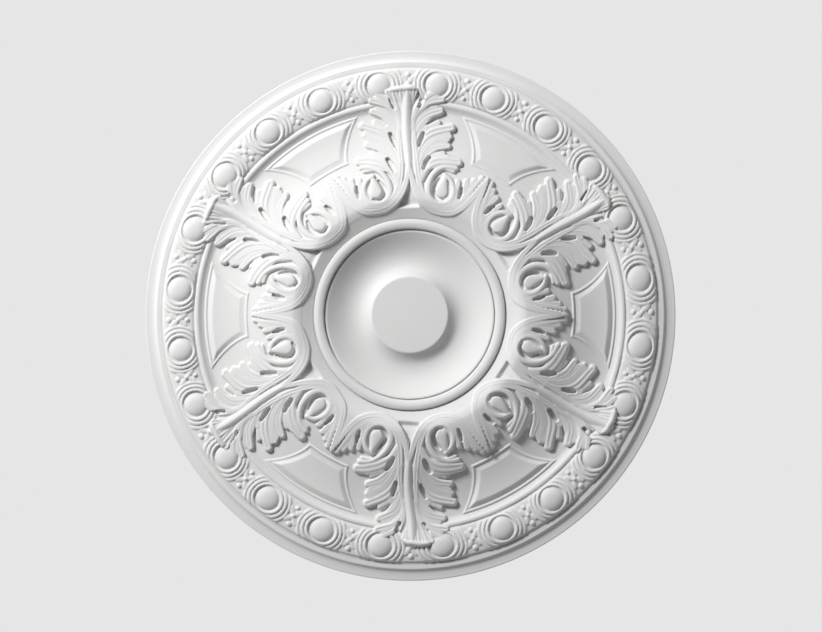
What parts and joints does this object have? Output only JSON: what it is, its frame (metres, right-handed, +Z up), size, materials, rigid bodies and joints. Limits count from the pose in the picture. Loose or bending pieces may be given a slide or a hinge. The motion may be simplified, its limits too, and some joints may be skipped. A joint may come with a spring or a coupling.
{
  "type": "ceiling rose",
  "caption": "Round cast ceiling rose with a plain boss in a bowl, scrolled acanthus leaves, framed panels and an egg-and-dart border.",
  "frame": {"origin": "centre of the flat back, where the rose meets the ceiling", "axes": "+Z up into the ceiling, out of the flat back; the ornament faces -Z; one leaf's midrib runs along -Y and one panel lies 30 degrees from it"},
  "size_m": [0.5999, 0.6, 0.0405],
  "materials": {
    "plaster": "matt white cast plaster with fine sanded grain"
  },
  "bodies": {
    "root": {"ceiling_rose": "plaster"}
  },
  "joints": []
}
